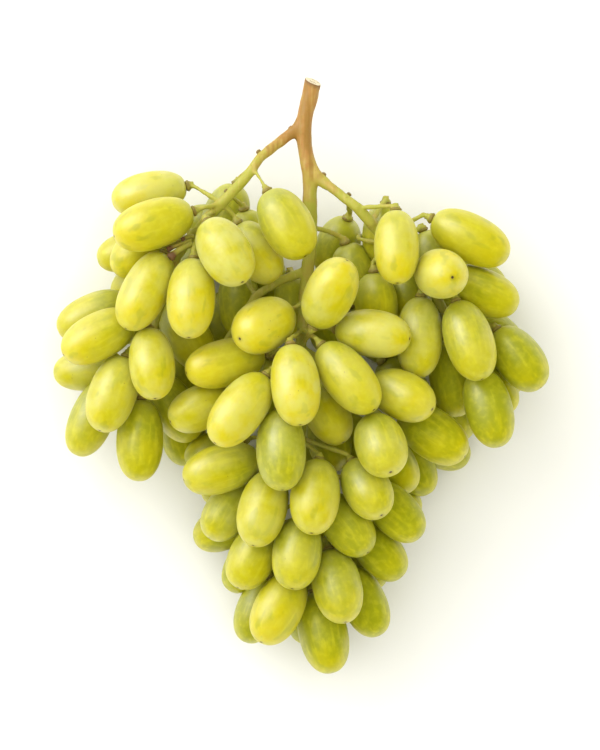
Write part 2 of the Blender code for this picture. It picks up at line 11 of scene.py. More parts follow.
import bmesh
import bpy
import numpy as np
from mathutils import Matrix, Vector

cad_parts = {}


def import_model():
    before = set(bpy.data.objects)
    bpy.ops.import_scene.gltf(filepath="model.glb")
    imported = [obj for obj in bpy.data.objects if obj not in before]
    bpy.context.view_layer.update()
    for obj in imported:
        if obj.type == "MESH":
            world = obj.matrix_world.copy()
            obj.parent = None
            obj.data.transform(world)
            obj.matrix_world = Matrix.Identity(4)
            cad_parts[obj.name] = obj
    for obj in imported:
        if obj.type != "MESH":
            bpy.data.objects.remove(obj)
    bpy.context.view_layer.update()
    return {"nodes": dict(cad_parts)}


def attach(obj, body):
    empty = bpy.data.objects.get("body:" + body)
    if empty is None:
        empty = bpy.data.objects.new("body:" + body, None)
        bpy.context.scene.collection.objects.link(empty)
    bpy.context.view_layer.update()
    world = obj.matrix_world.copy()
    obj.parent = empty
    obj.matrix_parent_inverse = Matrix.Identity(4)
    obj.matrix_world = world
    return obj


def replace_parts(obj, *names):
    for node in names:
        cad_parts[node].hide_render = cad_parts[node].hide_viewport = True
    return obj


MM = 0.001

UP, SIDEWAYS = (0.0, 0.0, 1.0), (1.0, 0.0, 0.0)
STEEP = 0.9  # the height of a unit vector that is nearly upright
SEED = 11

# --- Reading the frame -----------------------------------------------------------------------------------------------

WELD = 0.001 * MM  # a mesh's points are rounded to this, so that those in one place become one
TINY = 1e-15  # keeps a face without area from dividing by zero
CREASE = math.radians(8)  # edges of a clump that turn inwards by more than this part two berries
LEAST_SKIN = 60 * MM**2  # a smaller patch of a clump's skin is no berry
HELD_REACH = 2.4 * MM  # the stem holds a berry if it comes this near to one of its ends
FULLNESS = 2.2  # the power of a berry's outline, where 2 is an ellipse: the CAD solids have the same
OFF_FLAT = 0.2 * MM  # lower points lie on the flats that the bunch rests on, not on a round surface
FIT_UNIT = 10 * MM  # the fit of a berry works in this unit, so that all its numbers are near 1
FIRST_SIZES = (1.4, 0.87)  # the half length and half width that the fit starts from, in that unit
FIT_ROUNDS = 60
FIT_STEP = 1e-6  # by which each number is changed to see what it does
FIRST_DAMPING, DAMPING_FALL, DAMPING_RISE = 1e-3, 3, 4

# --- Berries ---------------------------------------------------------------------------------------------------------

SEGMENTS = 48
END_TURNS = (0, 1.5, 3, 4.5, 7, 10, 14, 19, 25)  # of the rings near an end, in degrees
MIDDLE_RINGS = 24
SWELL_AT_BLOSSOM = 0.022  # how much fuller the blossom half is
UNEVEN = 0.10 * MM
RIDGES = ((2, 0.6), (3, 0.8), (5, 0.35))  # low waves round a berry: how many, and how strong
RIDGE_WANDER, RIDGE_LEAN = 0.6, 0.5  # how far they wander along a berry, and how much it leans aside
DIMPLE_DEPTH, DIMPLE_WIDTH = 0.5 * MM, 2.6 * MM  # where the stalk goes in
SCAR_DEPTH, SCAR_WIDTH = 0.25 * MM, 0.6 * MM  # where the flower was
SKIN_SHIFT = 500.0  # how far a berry's place in the patterns of the skin may lie from its own middle, mm
# A berry's ripeness also paints its light and shade: lighter on top and to the upper left, darker below and to the
# right.
RIPE_MEAN, RIPE_SPREAD = 0.50, 0.08
RIPE_LIT_LEVEL = 48.0  # Z of a berry of mean ripeness and light, mm
RIPE_LIT_X, RIPE_LIT_Y, RIPE_LIT_Z = -500.0, 600.0, 60.0  # how far along each axis a berry is riper and lighter by 1, mm: the lighter top and upper left are painted light
END_CONTRAST = (0.5, 1.0)  # the least and most that a berry's two ends differ in colour
BLOOM_LOW, BLOOM_HIGH = 0.06, 0.52  # how much pale wax the berries underneath and on top have: more on top is painted light
BLOOM_FROM, BLOOM_TO = 40.0, 68.0  # Z of those, mm
BLOOM_SPREAD = 0.12
TONES = {  # the berries that stand out from their neighbours: how ripe they are and their bloom, which also paint their light and shade
    "berry_heart_01": (0.85, 0.35),
    "berry_heart_02": (0.75, 0.10),
    "berry_heart_05": (0.50, 0.25),
    "berry_heart_06": (0.70, 0.60),
    "berry_heart_08": (0.25, 0.25),
    "berry_heart_10": (0.00, 0.30),
    "berry_left_shoulder_01": (0.95, 0.60),
    "berry_left_shoulder_02": (0.80, 0.10),
    "berry_left_shoulder_05": (0.70, 0.75),
    "berry_left_shoulder_10": (0.30, 0.00),
    "berry_neck_01": (0.45, 0.15),
    "berry_right_shoulder_02": (0.70, 0.05),
    "berry_right_shoulder_06": (0.35, 0.25),
    "berry_right_shoulder_07": (0.10, 0.00),
    "berry_right_shoulder_08": (0.05, 0.00),
    "berry_tail_04": (0.20, 0.20),
    "berry_tail_05": (0.00, 0.05),
    "berry_tail_06": (0.25, 0.20),
    "berry_tail_08": (0.70, 0.15),
    "berry_tail_10": (0.10, 0.00),
    "berry_tail_12": (0.00, 0.00),
    "berry_tail_13": (0.00, 0.00),
}

# the green is also darker, as painted shade on the berries underneath and to the right
SKIN_GREEN = (0.335, 0.352, 0.008, 1)
SKIN_MIDDLE = (0.525, 0.485, 0.003, 1)
SKIN_YELLOW = (0.625, 0.540, 0.003, 1)
SKIN_VEIN = (0.660, 0.640, 0.035, 1)
# the wax, whose paleness on the berries on top is also a painted highlight
SKIN_BLOOM = (0.620, 0.620, 0.200, 1)
SKIN_STALK_END = (0.500, 0.500, 0.050, 1)
SKIN_SPECK = (0.260, 0.190, 0.030, 1)
SCAR_BROWN = (0.060, 0.032, 0.012, 1)
SKIN_FINISH = {  # flesh that lets red and green light through, under a waxy skin
    "Subsurface Weight": 1.0,
    "Subsurface Radius": (1.0, 0.9, 0.1),
    "Subsurface Scale": 8 * MM,
    "Specular IOR Level": 1.0,
    "IOR": 1.45,
    "Coat Weight": 0.4,
    "Coat Roughness": 0.5,
    "Coat IOR": 1.45,
    "Sheen Weight": 0.25,
    "Sheen Roughness": 0.2,
    "Sheen Tint": (1.0, 1.0, 0.3, 1),
}

# --- Stem ------------------------------------------------------------------------------------------------------------

VOXEL = 0.45 * MM
STEM_SMOOTHING = 4
FILLET_SMOOTHING = 24  # more of it above FILLET_ABOVE, where only thick branches are
FILLET_ABOVE, FILLET_FULL = 66.0, 72.0  # Y, mm
STEM_SWELL = 0.12 * MM  # what the smoothing took off
STEM_GRAIN = (  # lumps: how far apart across and along the stalk, and how high, mm
    (7.0, 7.0, 0.10),
    (2.2, 2.2, 0.06),
    (1.7, 16.0, 0.06),
)
LUMP_WAVES = 9
LUMP_PACE = (0.6, 1.4)  # the least and most waves, to a lump's size
CUT_NORMAL = (0.40, 0.86, 0.34)  # the slanting cut through the stalk
CUT_BACK = 1.7 * MM  # how far below the stalk's top the cut is, in its middle
CUT_BROWN, CUT_DARKENING = 1.6 * MM, 0.8  # how far down and how much the bark is browned by the cut
NUBS = (  # bud scars: x, y, heading in degrees and size, mm
    (-3.4, 93.8, 140, 1.1),
    (-15.6, 84.7, 130, 1.1),
    (-28.0, 69.8, 130, 1.0),
    (9.0, 76.2, 60, 1.0),
    (18.5, 68.5, 50, 1.0),
)
NUB_SHAPE = ((-1.6, 1.25), (-0.6, 1.0), (0.1, 0.85), (0.5, 0.95), (0.85, 0.55))  # height and radius, to size
NUB_BROWN = (0.0, 0.0, 0.3, 0.8, 0.6)
NUB_LIFT = 0.25  # how much a nub points upwards
NUB_REACH = 2.5  # of the stem's surface that tells a nub's height, mm
WOODY_ABOVE, GREEN_BELOW = 88.0, 60.0  # Y where the stalk is fully woody and fully green, mm
STALK_X, STALK_HALF_WIDTH = 3.0, 4.0  # mm
GREENER_ASIDE = 1.0  # how much sooner the branches turn green than the stalk, mm for each mm
TWIG_SIDES = 14
RING_HEIGHTS = (-0.5, 0.1, 0.5, 1.0, 1.5, 1.9, 2.5, 3.2)  # of a receptacle's rings above the skin, mm
RING_RADII = (1.2, 1.7, 2.15, 2.2, 1.75, 1.45, 1.2, 1.08)
RING_BROWN = (0.9, 0.9, 0.6, 0.8, 0.5, 0.3, 0.1, 0.0)
RING_FADE = (0.6, 1.0)  # the brown is weakened by a share between these
WART = 0.09 * MM  # how uneven the rings, nubs and bare twigs are
BARE_TWIGS = (  # they lost their berries at the left shoulder: start, bend, end and radius, mm
    ((-40.5, 52.5, 54.5), (-42.5, 52.6, 57.0), (-44.8, 51.4, 58.5), 0.65),
    ((-41.5, 51.0, 55.5), (-45.3, 49.8, 58.5), (-50.2, 47.3, 59.5), 0.75),
    ((-41.0, 49.5, 56.0), (-45.4, 48.3, 61.0), (-49.2, 44.3, 63.0), 1.15),
)
BARE_RINGS = 14
BARE_SHAPE = ((0.0, 0.2, 0.8, 0.92, 1.0), (1.3, 1.0, 1.0, 1.55, 1.3))  # shares of the way, and of the radius
BARE_BROWN = ((0.0, 0.72, 0.85, 1.0), (0.1, 0.3, 1.0, 1.0))  # shares of the way, and how brown

BARK_GREEN = (0.430, 0.420, 0.045, 1)
BARK_GOLDEN = (0.480, 0.345, 0.060, 1)
BARK_TAN = (0.440, 0.220, 0.045, 1)
BARK_STREAK = (0.340, 0.180, 0.025, 1)
BARK_PALE = (0.640, 0.500, 0.170, 1)
BARK_BROWN = (0.240, 0.105, 0.035, 1)
BARK_RING = (0.150, 0.070, 0.025, 1)
BARK_FINISH = {"Subsurface Weight": 0.1, "Subsurface Scale": 1 * MM}
WOOD_PALE = (0.820, 0.720, 0.500, 1)
WOOD_DARK = (0.300, 0.190, 0.090, 1)
WOOD_ROUGHNESS = 0.8

# --- Camera and light ------------------------------------------------------------------------------------------------

FRAME_HEIGHT = 285 * MM  # what the camera sees of the level of VIEW_CENTRE
VIEW_CENTRE = (0.0, 0.0, 50 * MM)
CAMERA_HEIGHT = 2.5
SENSOR = 36.0  # mm, as a camera in Blender has it
FLOOR_SIDE = 6.0
FLOOR_COLOUR = (0.93, 0.93, 0.92, 1)
FLOOR_GRAIN, FLOOR_GRAIN_SHARE = (0.7, 0.7, 0.7, 1), 0.04
FLOOR_ROUGHNESS = 0.9
WORLD_COLOUR = (1.0, 0.98, 0.88, 1)
WORLD_STRENGTH = 0.87
LIT_POINT = (0.0, 0.0, 40 * MM)  # where the lamps point
LAMPS = (  # name, place, side, watts, and whether it lights the colour of a surface and shines in its gloss
    ("key", (-1.30, 1.10, 1.20), 2.2, 28.0, True, True),
    ("shine", (-1.30, 1.10, 1.20), 1.3, 28.0, False, True),
    ("top", (0.0, 0.0, 3.2), 3.0, 42.0, True, False),
)


# --- Reading the frame -----------------------------------------------------------------------------------------------


def rows(items, key, width, kind=float):
    """One property of all the vertices, edges or triangles of a mesh, a row for each."""
    values = np.empty(len(items) * width, kind)
    items.foreach_get(key, values)
    return values.reshape(-1, width)


def welded(mesh):
    """A mesh's points, each one once, and its triangles."""
    points = rows(mesh.vertices, "co", 3)
    mesh.calc_loop_triangles()
    faces = rows(mesh.loop_triangles, "vertices", 3, np.int64)
    _, first, index = np.unique(np.round(points / WELD), axis=0, return_index=True, return_inverse=True)
    return points[first], index.reshape(-1)[faces]


def shells(points, faces):
    """Splits a clump's faces into its berries, which meet along edges that turn inwards."""
    corners = points[faces]
    normal = np.cross(corners[:, 1] - corners[:, 0], corners[:, 2] - corners[:, 0])
    area = np.linalg.norm(normal, axis=1)
    normal /= np.maximum(area, TINY)[:, None]
    middle = corners.mean(axis=1)
    sides = {}
    for n, face in enumerate(faces):
        for k in range(3):
            sides.setdefault(tuple(sorted((face[k], face[(k + 1) % 3]))), []).append(n)
    parent = list(range(len(faces)))

    def root(n):
        while parent[n] != n:
            parent[n] = parent[parent[n]]
            n = parent[n]
        return n

    for pair in sides.values():
        if len(pair) != 2:
            continue
        one, other = pair
        rise = normal[one] @ (middle[other] - middle[one])
        turn = math.acos(np.clip(normal[one] @ normal[other], -1, 1))
        if rise <= 0 or turn < CREASE:
            parent[root(one)] = root(other)
    groups = {}
    for n in range(len(faces)):
        groups.setdefault(root(n), []).append(n)
    return [np.unique(faces[group]) for group in groups.values() if area[group].sum() / 2 > LEAST_SKIN]


def misfit(values, points):
    """How far points are from the surface of the berry that eight numbers describe, as shares of its size.

    The numbers are its centre and its axis, of three each, its half length and its half width.
    """
    centre, axis = values[:3], values[3:6] / np.linalg.norm(values[3:6])
    along = (points - centre) @ axis
    out = np.linalg.norm(points - centre - along[:, None] * axis, axis=1)
    ratio = np.abs(along / values[6]) ** FULLNESS + (out / values[7]) ** FULLNESS
    return ratio ** (1 / FULLNESS) - 1


def fitted(points):
    """The centre, axis, half length and half width of the berry whose surface holds these points.

    They are found by damped least squares, which lets up as long as the fit gets better.
    """
    points = points[points[:, 2] > OFF_FLAT] / FIT_UNIT
    centre = (points.min(axis=0) + points.max(axis=0)) / 2
    _, _, axes = np.linalg.svd(points - points.mean(axis=0))
    values = np.concatenate([centre, axes[0], FIRST_SIZES])
    each = np.eye(len(values))
    damping = FIRST_DAMPING
    error = misfit(values, points)
    for _ in range(FIT_ROUNDS):
        changed = [misfit(values + step, points) for step in each * FIT_STEP]
        slope = (np.stack(changed, axis=1) - error[:, None]) / FIT_STEP
        change = np.linalg.solve(slope.T @ slope + damping * each, -slope.T @ error)
        tried = values + change
        tried[3:6] /= np.linalg.norm(tried[3:6])
        tried_error = misfit(tried, points)
        if tried_error @ tried_error < error @ error:
            values, error, damping = tried, tried_error, damping / DAMPING_FALL
        else:
            damping *= DAMPING_RISE
    return values[:3] * FIT_UNIT, values[3:6], values[6] * FIT_UNIT, values[7] * FIT_UNIT


def berries_of(nodes):
    """Every berry of the frame by its node: centre, direction of the blossom end, half length and half width.

    A berry's stalk end is the one that the stem holds, or else the one that is higher and nearer to it.
    """
    stem, _ = welded(nodes["stem"].data)
    found = {}
    for name in sorted(nodes):
        if name == "stem":
            continue
        points, faces = welded(nodes[name].data)
        groups = shells(points, faces) if "clump" in name else [np.arange(len(points))]
        found[name] = []
        for group in groups:
            centre, axis, half_length, half_width = fitted(points[group])
            ends = centre - np.outer((1, -1), axis) * half_length
            reach = np.array([np.linalg.norm(stem - end, axis=1).min() for end in ends])
            if reach.min() > HELD_REACH:
                reach -= ends[:, 2]
            if reach[1] < reach[0]:
                axis = -axis
            found[name].append((centre, axis, half_length, half_width))
    return found


# --- Making pieces ---------------------------------------------------------------------------------------------------


def piece(name, points, faces, finish):
    """A smooth-shaded mesh object that rides on the part's only body."""
    mesh = bpy.data.meshes.new(name)
    mesh.from_pydata([tuple(point) for point in points], [], faces)
    mesh.validate()
    mesh.shade_smooth()
    mesh.materials.append(finish)
    made = bpy.data.objects.new(name, mesh)
    bpy.context.scene.collection.objects.link(made)
    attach(made, "root")
    return made


def attribute(mesh, name, values):
    """Stores a number or a vector for each vertex, for the materials."""
    kind = "FLOAT_VECTOR" if values.ndim == 2 else "FLOAT"
    stored = mesh.attributes.new(name, kind, "POINT")
    stored.data.foreach_set("vector" if values.ndim == 2 else "value", values.astype(np.float32).ravel())


# --- Berries ---------------------------------------------------------------------------------------------------------


def across(axis):
    """Two unit vectors square to an axis and to each other."""
    side = np.cross(axis, UP if abs(axis[2]) < STEEP else SIDEWAYS)
    side /= np.linalg.norm(side)
    return side, np.cross(axis, side)


def outline_turns():
    """The places of a berry's rings, in radians from the blossom end, closer together at both ends."""
    first = np.array(END_TURNS)
    middle = np.linspace(first[-1], 180 - first[-1], MIDDLE_RINGS)[1:-1]
    return np.radians(np.concatenate([first, middle, 180 - first[::-1]]))


def berry_faces(rings):
    """A berry's faces: a fan of triangles at each end, and quads between its rings."""
    last, stalk = 1 + (rings - 1) * SEGMENTS, 1 + rings * SEGMENTS
    faces = []
    for k in range(SEGMENTS):
        after = (k + 1) % SEGMENTS
        faces.append((0, 1 + k, 1 + after))
        for ring in range(rings - 1):
            base = 1 + ring * SEGMENTS
            faces.append((base + k, base + SEGMENTS + k, base + SEGMENTS + after, base + after))
        faces.append((last + k, stalk, last + after))
    return faces


def berry_surface(berry, rng):
    """One smooth berry: its points, its faces, and what its skin is coloured by."""
    centre, axis, half_length, half_width = berry
    turn = outline_turns()
    cosine, sine = np.cos(turn), np.abs(np.sin(turn))
    along = half_length * np.sign(cosine) * np.abs(cosine) ** (2 / FULLNESS)
    out = half_width * sine ** (2 / FULLNESS) * (1 + SWELL_AT_BLOSSOM * along / half_length)
    along -= np.where(cosine > 0, SCAR_DEPTH * np.exp(-((out / SCAR_WIDTH) ** 2)), 0)
    along += np.where(cosine < 0, DIMPLE_DEPTH * np.exp(-((out / DIMPLE_WIDTH) ** 2)), 0)
    around = np.linspace(0, math.tau, SEGMENTS, endpoint=False)
    ridges = np.zeros((len(turn), SEGMENTS))
    for waves, share in RIDGES:
        phase, twist, bend = rng.uniform(0, math.tau, 3)
        wander = RIDGE_WANDER * np.sin(turn[:, None] + twist)
        ridges += share * np.cos(waves * around[None] + phase + wander)
        ridges += share * RIDGE_LEAN * np.cos(2 * turn[:, None] + bend) * np.cos(around[None] + twist)
    radius = out[:, None] + UNEVEN * ridges * sine[:, None]
    side, other = across(axis)
    spokes = np.cos(around)[:, None] * side + np.sin(around)[:, None] * other
    points = centre + along[:, None, None] * axis + radius[..., None] * spokes[None]
    blossom, stalk = points[0].mean(axis=0), points[-1].mean(axis=0)
    inner = points[1:-1].reshape(-1, 3)
    points = np.concatenate([[blossom], inner, [stalk]])
    local = np.stack([(points - centre) @ way for way in (side, other, axis)], axis=1)
    coloured_by = {
        "skin_place": local / MM + rng.uniform(-SKIN_SHIFT, SKIN_SHIFT, 3),
        "along": local[:, 2] / half_length,
        "to_blossom": np.linalg.norm(points - blossom, axis=1) / MM,
        "to_stalk": np.linalg.norm(points - stalk, axis=1) / MM,
    }
    points[:, 2] = np.maximum(points[:, 2], 0.0)
    return points, berry_faces(len(turn) - 2), coloured_by


def ripeness_and_shade(berry, rng):
    """How yellow a berry is, from 0 for green to 1: more so on top, to the left and towards the stalk."""
    x, y, z = berry[0] / MM
    # lighter towards the key light at the upper left and on top: painted light and shade, added to the ripeness
    lighter_and_riper = x / RIPE_LIT_X + y / RIPE_LIT_Y + (z - RIPE_LIT_LEVEL) / RIPE_LIT_Z
    return float(np.clip(RIPE_MEAN + lighter_and_riper + rng.normal(0, RIPE_SPREAD), 0.0, 1.0))


def bloom_and_light_of(berry, rng):
    """How much pale wax a berry has, different from one berry to the next, and the most on top as painted light."""
    height = np.clip((berry[0][2] / MM - BLOOM_FROM) / (BLOOM_TO - BLOOM_FROM), 0, 1)
    share = BLOOM_LOW + (BLOOM_HIGH - BLOOM_LOW) * height + rng.normal(0, BLOOM_SPREAD)
    return max(share, 0.0)


def berry_piece(name, berries, skin, rng):
    """The smooth berries of one node as one piece."""
    points, faces, values = [], [], {}
    count = 0
    for berry in berries:
        new_points, new_faces, skin_values = berry_surface(berry, rng)
        drawn = ripeness_and_shade(berry, rng), bloom_and_light_of(berry, rng)  # for every berry, so that TONES changes no others
        # a berry's ripeness and bloom also carry painted light and shade
        ripe_and_lit, bloom_and_light = TONES.get(name, drawn)
        skin_values["ripe_and_lit"] = np.full(len(new_points), ripe_and_lit)
        skin_values["bloom_and_light"] = np.full(len(new_points), bloom_and_light)
        skin_values["green_end"] = np.full(len(new_points), rng.uniform(*END_CONTRAST))
        points.append(new_points)
        faces += [tuple(count + v for v in face) for face in new_faces]
        for key, value in skin_values.items():
            values.setdefault(key, []).append(value)
        count += len(new_points)
    made = piece(f"{name}_skin", np.concatenate(points), faces, skin)
    for key, parts in values.items():
        attribute(made.data, key, np.concatenate(parts))
    return made


# --- Stem ------------------------------------------------------------------------------------------------------------


def tube(route, radii, rng):
    """A closed round tube along a route, with warts."""
    route = np.array(route)
    ahead = np.gradient(route, axis=0)
    ahead /= np.linalg.norm(ahead, axis=1)[:, None]
    points, faces = [], []
    side, _ = across(ahead[0])
    for n, (place, way) in enumerate(zip(route, ahead)):
        side = side - way * (side @ way)
        side /= np.linalg.norm(side)
        other = np.cross(way, side)
        for k in range(TWIG_SIDES):
            turn = math.tau * k / TWIG_SIDES
            radius = radii[n] + rng.normal(0, WART)
            points.append(place + radius * (math.cos(turn) * side + math.sin(turn) * other))
    for n in range(len(route) - 1):
        for k in range(TWIG_SIDES):
            a, b = n * TWIG_SIDES + k, n * TWIG_SIDES + (k + 1) % TWIG_SIDES
            faces.append((a, b, b + TWIG_SIDES, a + TWIG_SIDES))
    last = (len(route) - 1) * TWIG_SIDES
    faces.append(tuple(range(TWIG_SIDES - 1, -1, -1)))
    faces.append(tuple(range(last, last + TWIG_SIDES)))
    return points, faces


def age_of(points):
    """How woody the stem is, from 0 for the green twigs inside the bunch to 1 for the cut end."""
    aside = np.maximum(np.abs(points[:, 0] / MM - STALK_X) - STALK_HALF_WIDTH, 0)
    height = points[:, 1] / MM - aside * GREENER_ASIDE
    return np.clip((height - GREEN_BELOW) / (WOODY_ABOVE - GREEN_BELOW), 0, 1)


def tubes_piece(name, tubes, bark, rng, fade=None):
    """Short tubes as one piece. Each is a route, and the radius and the brown of every ring along it."""
    points, faces, brown = [], [], []
    for route, radii, ring_brown in tubes:
        new_points, new_faces = tube(route, radii, rng)
        faces += [tuple(len(points) + v for v in face) for face in new_faces]
        points += new_points
        brown += np.repeat(ring_brown, TWIG_SIDES).tolist()
    points, brown = np.array(points), np.array(brown)
    if fade:
        brown *= rng.uniform(*fade, len(brown))
    made = piece(name, points, faces, bark)
    attribute(made.data, "brown", brown)
    attribute(made.data, "age", age_of(points))
    return made


def receptacles(berries, bark, rng):
    """The warty rings that hold the berries, each with the first stretch of its stalk."""
    tubes = []
    for centre, axis, half_length, _ in berries:
        start = centre - axis * (half_length - DIMPLE_DEPTH)
        route = [start - axis * height * MM for height in RING_HEIGHTS]
        tubes.append((route, np.array(RING_RADII) * MM, RING_BROWN))
    return tubes_piece("receptacles", tubes, bark, rng, RING_FADE)


def bud_scars(stem, bark, rng):
    """The brown nubs on the stalk and its branches."""
    surface = rows(stem.vertices, "co", 3)
    heights, radii = np.array(NUB_SHAPE).T
    tubes = []
    for x, y, heading, size in NUBS:
        way = np.array((math.cos(math.radians(heading)), math.sin(math.radians(heading)), NUB_LIFT))
        way /= np.linalg.norm(way)
        near = surface[np.hypot(surface[:, 0] / MM - x, surface[:, 1] / MM - y) < NUB_REACH]
        foot = np.array((x * MM, y * MM, (near[:, 2].min() + near[:, 2].max()) / 2))
        tubes.append((foot + np.outer(heights, way) * size * MM, radii * size * MM, NUB_BROWN))
    return tubes_piece("bud_scars", tubes, bark, rng)


def bare_twigs(bark, rng):
    """The short twigs that lost their berries, each widening to a brown end."""
    along = np.linspace(0, 1, BARE_RINGS)
    weights = np.stack([(1 - along) ** 2, 2 * along * (1 - along), along**2], axis=1)
    brown = np.interp(along, *BARE_BROWN)
    tubes = []
    for start, bend, end, size in BARE_TWIGS:
        route = weights @ np.array((start, bend, end)) * MM
        tubes.append((route, np.interp(along, *BARE_SHAPE) * size * MM, brown))
    return tubes_piece("bare_twigs", tubes, bark, rng)


def stem_piece(node, bark, wood, rng):
    """The stem as a rounded copy of its CAD solid, with knots, ridges and a slanting cut end."""
    points, faces = welded(node.data)
    made = piece("stem_bark", points, [tuple(face) for face in faces], bark)
    remesh(made)
    mesh = made.data
    points = rows(mesh.vertices, "co", 3)
    edges = rows(mesh.edges, "vertices", 2, np.int64)
    points = relaxed(points, edges, np.ones(len(points)), STEM_SMOOTHING)
    thick = np.clip((points[:, 1] / MM - FILLET_ABOVE) / (FILLET_FULL - FILLET_ABOVE), 0, 1)
    points = relaxed(points, edges, thick, FILLET_SMOOTHING)
    mesh.vertices.foreach_set("co", points.ravel())
    mesh.update()
    rough = np.zeros(len(points))
    for across_size, along_size, depth in STEM_GRAIN:
        rough += depth * lumps(points / (np.array((across_size, along_size, across_size)) * MM), rng)
    points += rows(mesh.vertices, "normal", 3) * (STEM_SWELL + rough[:, None] * MM)
    mesh.vertices.foreach_set("co", points.ravel())
    below_cut = cut_end(mesh, wood)
    mesh.shade_smooth()
    attribute(mesh, "age", age_of(rows(mesh.vertices, "co", 3)))
    attribute(mesh, "brown", np.clip(1 - below_cut / CUT_BROWN, 0, 1) * CUT_DARKENING)
    return made


def remesh(made):
    """Gives an object's mesh small even faces."""
    modifier = made.modifiers.new("round", "REMESH")
    modifier.mode = "VOXEL"
    modifier.voxel_size = VOXEL
    modifier.adaptivity = 0.0
    evaluated = made.evaluated_get(bpy.context.evaluated_depsgraph_get())
    mesh = bpy.data.meshes.new_from_object(evaluated)
    made.modifiers.clear()
    made.data = mesh


def relaxed(points, edges, weight, rounds):
    """The points drawn towards the mean of their neighbours, more where the weight is higher."""
    count = np.bincount(edges.ravel(), minlength=len(points))[:, None]
    for _ in range(rounds):
        total = np.zeros_like(points)
        np.add.at(total, edges[:, 0], points[edges[:, 1]])
        np.add.at(total, edges[:, 1], points[edges[:, 0]])
        points = points + (total / np.maximum(count, 1) - points) * weight[:, None] / 2
    return points


def cut_end(mesh, wood):
    """Cuts the stalk off on a slant, with a finish of its own, and tells how far below it each point is."""
    mesh.materials.append(wood)
    shape = bmesh.new()
    shape.from_mesh(mesh)
    top = max(vertex.co.y for vertex in shape.verts)
    end = [vertex.co for vertex in shape.verts if vertex.co.y > top - 2 * CUT_BACK]
    middle = sum(end, Vector()) / len(end)
    middle.y = top - CUT_BACK
    facing = Vector(CUT_NORMAL).normalized()
    everything = shape.verts[:] + shape.edges[:] + shape.faces[:]
    cut = bmesh.ops.bisect_plane(
        shape, geom=everything, dist=0, plane_co=middle, plane_no=facing, clear_outer=True
    )
    rim = [item for item in cut["geom_cut"] if isinstance(item, bmesh.types.BMEdge)]
    made = bmesh.ops.contextual_create(shape, geom=rim)["faces"]
    for face in bmesh.ops.poke(shape, faces=made)["faces"]:
        face.material_index = 1
    bmesh.ops.split_edges(shape, edges=rim)
    below = np.array([(middle - vertex.co) @ facing for vertex in shape.verts])
    shape.to_mesh(mesh)
    shape.free()
    return below


def lumps(places, rng):
    """Smooth random lumps about one unit across, mostly from -1 to 1, as a sum of waves."""
    total = np.zeros(len(places))
    for _ in range(LUMP_WAVES):
        way = rng.normal(size=3)
        way *= math.pi / np.linalg.norm(way)
        total += np.cos(places @ way * rng.uniform(*LUMP_PACE) + rng.uniform(0, math.tau))
    return total / math.sqrt(LUMP_WAVES)


# --- Materials -------------------------------------------------------------------------------------------------------


class Tree:
    """A material's nodes, with short ways to add them."""

    def __init__(self, name):
        self.material = bpy.data.materials.new(name)
        self.material.use_nodes = True
        self.nodes = self.material.node_tree.nodes
        self.links = self.material.node_tree.links
        self.surface = self.nodes["Principled BSDF"]

    def add(self, kind, inputs=None, **settings):
        """A node with its settings, and its inputs set to values or linked to other nodes' outputs."""
        node = self.nodes.new(f"ShaderNode{kind}")
        for key, value in settings.items():
            setattr(node, key, value)
        for key, value in (inputs or {}).items():
            self.set(node.inputs[key], value)
        return node

    def set(self, socket, value):
        """Gives an input a value, or links it to another node's output."""
        if isinstance(value, bpy.types.NodeSocket):
            self.links.new(value, socket)
        else:
            socket.default_value = value

    def value(self, name):
        """A vertex attribute of one number."""
        return self.add("Attribute", attribute_name=name).outputs["Fac"]

    def vector(self, name):
        """A vertex attribute of three numbers."""
        return self.add("Attribute", attribute_name=name).outputs["Vector"]

    def noise(self, place, scale, detail=2.0, stretch=None):
        """Noise from 0 to 1, finer where the scale is larger."""
        if stretch is not None:
            place = self.add("Mapping", {"Vector": place, "Scale": stretch}).outputs["Vector"]
        return self.add("TexNoise", {"Vector": place, "Scale": scale, "Detail": detail}).outputs["Fac"]

    def ramp(self, value, low, high, low_to=0.0, high_to=1.0):
        """A value from low to high turned smoothly into one from low_to to high_to."""
        inputs = {"Value": value, "From Min": low, "From Max": high, "To Min": low_to, "To Max": high_to}
        return self.add("MapRange", inputs, interpolation_type="SMOOTHSTEP").outputs["Result"]

    def math(self, operation, *values):
        """One step of arithmetic."""
        node = self.add("Math", operation=operation)
        for n, value in enumerate(values):
            self.set(node.inputs[n], value)
        return node.outputs[0]

    def mix(self, share, one, other):
        """Two colours mixed."""
        node = self.add("Mix", data_type="RGBA")
        for n, value in ((0, share), (6, one), (7, other)):  # the inputs for colours come after other kinds
            self.set(node.inputs[n], value)
        return node.outputs[2]

    def finish(self, colour, roughness, values):
        """Gives the surface its colour and roughness, and its other inputs plain values."""
        self.set(self.surface.inputs["Base Color"], colour)
        self.set(self.surface.inputs["Roughness"], roughness)
        for name, value in values.items():
            self.surface.inputs[name].default_value = value
        return self.material

    def bump(self, height, strength, distance):
        """Fine relief that is too small for the mesh."""
        node = self.add("Bump", {"Height": height, "Strength": strength, "Distance": distance})
        self.set(self.surface.inputs["Normal"], node.outputs["Normal"])


def ripe_colour(tree, place, streaks):
    """The skin's main colour: green at the stalk end and yellow at the blossom end, uneven in between."""
    yellow = tree.ramp(tree.value("along"), -1.0, 1.0, -0.42, 0.28)
    yellow = tree.math("MULTIPLY", yellow, tree.value("green_end"))
    # a berry's ripeness, which also paints its shade: darker green underneath and to the right
    yellow = tree.math("ADD", yellow, tree.value("ripe_and_lit"))
    yellow = tree.math("ADD", yellow, tree.ramp(tree.noise(place, 0.10), 0.3, 0.7, -0.12, 0.12))
    yellow = tree.math("ADD", yellow, tree.ramp(streaks, 0.3, 0.7, -0.06, 0.06))
    colour = tree.mix(tree.ramp(yellow, 0.0, 0.55), SKIN_GREEN, SKIN_MIDDLE)
    return tree.mix(tree.ramp(yellow, 0.55, 1.1), colour, SKIN_YELLOW)


